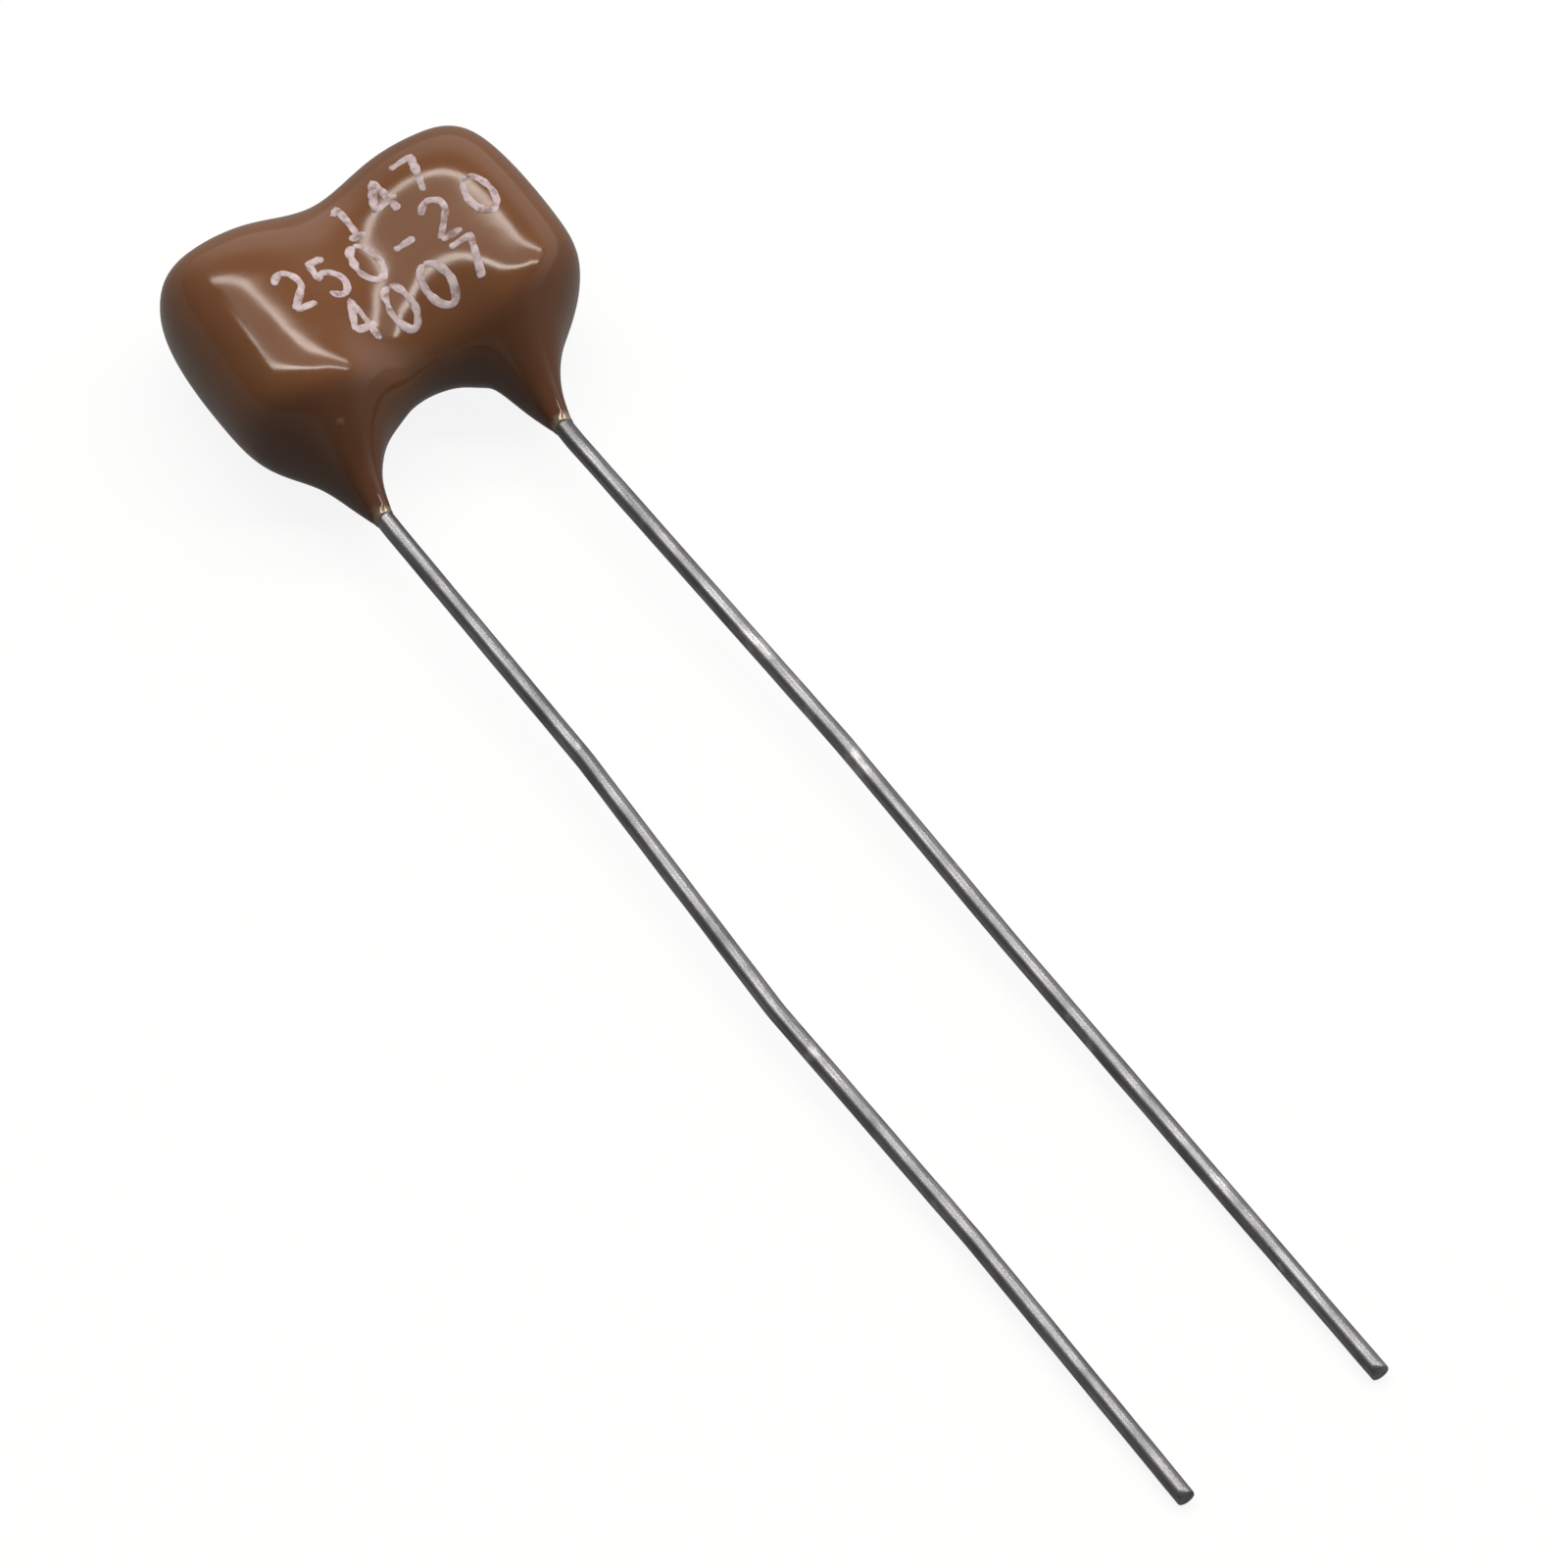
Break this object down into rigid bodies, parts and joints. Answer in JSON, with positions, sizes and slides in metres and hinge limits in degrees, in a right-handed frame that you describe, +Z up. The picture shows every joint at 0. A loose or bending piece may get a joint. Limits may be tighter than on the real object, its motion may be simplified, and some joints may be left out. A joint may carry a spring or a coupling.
{
  "type": "silver mica capacitor",
  "caption": "Dipped silver mica capacitor: a glossy brown two-lobed body on two long tinned wire leads, with its stack of mica sheets, foils and clamps inside.",
  "frame": {"origin": "on the surface that the part lies on, under the middle of its bounding box", "axes": "+X across the leads from the left one to the right one, +Y along the leads from their cut ends towards the body, +Z up out of the body's printed front"},
  "size_m": [0.0112, 0.0492, 0.005],
  "materials": {
    "coating": "glossy brown dipped resin, smooth and slightly uneven, with pale ink print on the front",
    "tinned_wire": "tinned copper-clad steel wire, soft shine with fine marks along it",
    "clamp": "plain rolled brass strip",
    "solder": "bright solder",
    "silvered_mica": "mica with a fired silver film on both faces",
    "plain_mica": "clear amber mica",
    "foil": "thin soft tin-lead foil"
  },
  "bodies": {
    "root": {"coating": "coating", "lead_left": "tinned_wire", "lead_right": "tinned_wire", "clamp_left": "clamp", "clamp_right": "clamp", "solder_left": "solder", "solder_right": "solder", "mica_sheet_01": "plain_mica", "mica_sheet_02": "silvered_mica", "mica_sheet_03": "silvered_mica", "mica_sheet_04": "silvered_mica", "mica_sheet_05": "silvered_mica", "mica_sheet_06": "silvered_mica", "mica_sheet_07": "silvered_mica", "mica_sheet_08": "silvered_mica", "mica_sheet_09": "silvered_mica", "mica_sheet_10": "silvered_mica", "mica_sheet_11": "silvered_mica", "mica_sheet_12": "silvered_mica", "mica_sheet_13": "silvered_mica", "mica_sheet_14": "silvered_mica", "mica_sheet_15": "silvered_mica", "mica_sheet_16": "plain_mica", "foil_left_01": "foil", "foil_left_02": "foil", "foil_left_03": "foil", "foil_left_04": "foil", "foil_left_05": "foil", "foil_left_06": "foil", "foil_left_07": "foil", "foil_left_08": "foil", "foil_right_01": "foil", "foil_right_02": "foil", "foil_right_03": "foil", "foil_right_04": "foil", "foil_right_05": "foil", "foil_right_06": "foil", "foil_right_07": "foil"}
  },
  "joints": []
}
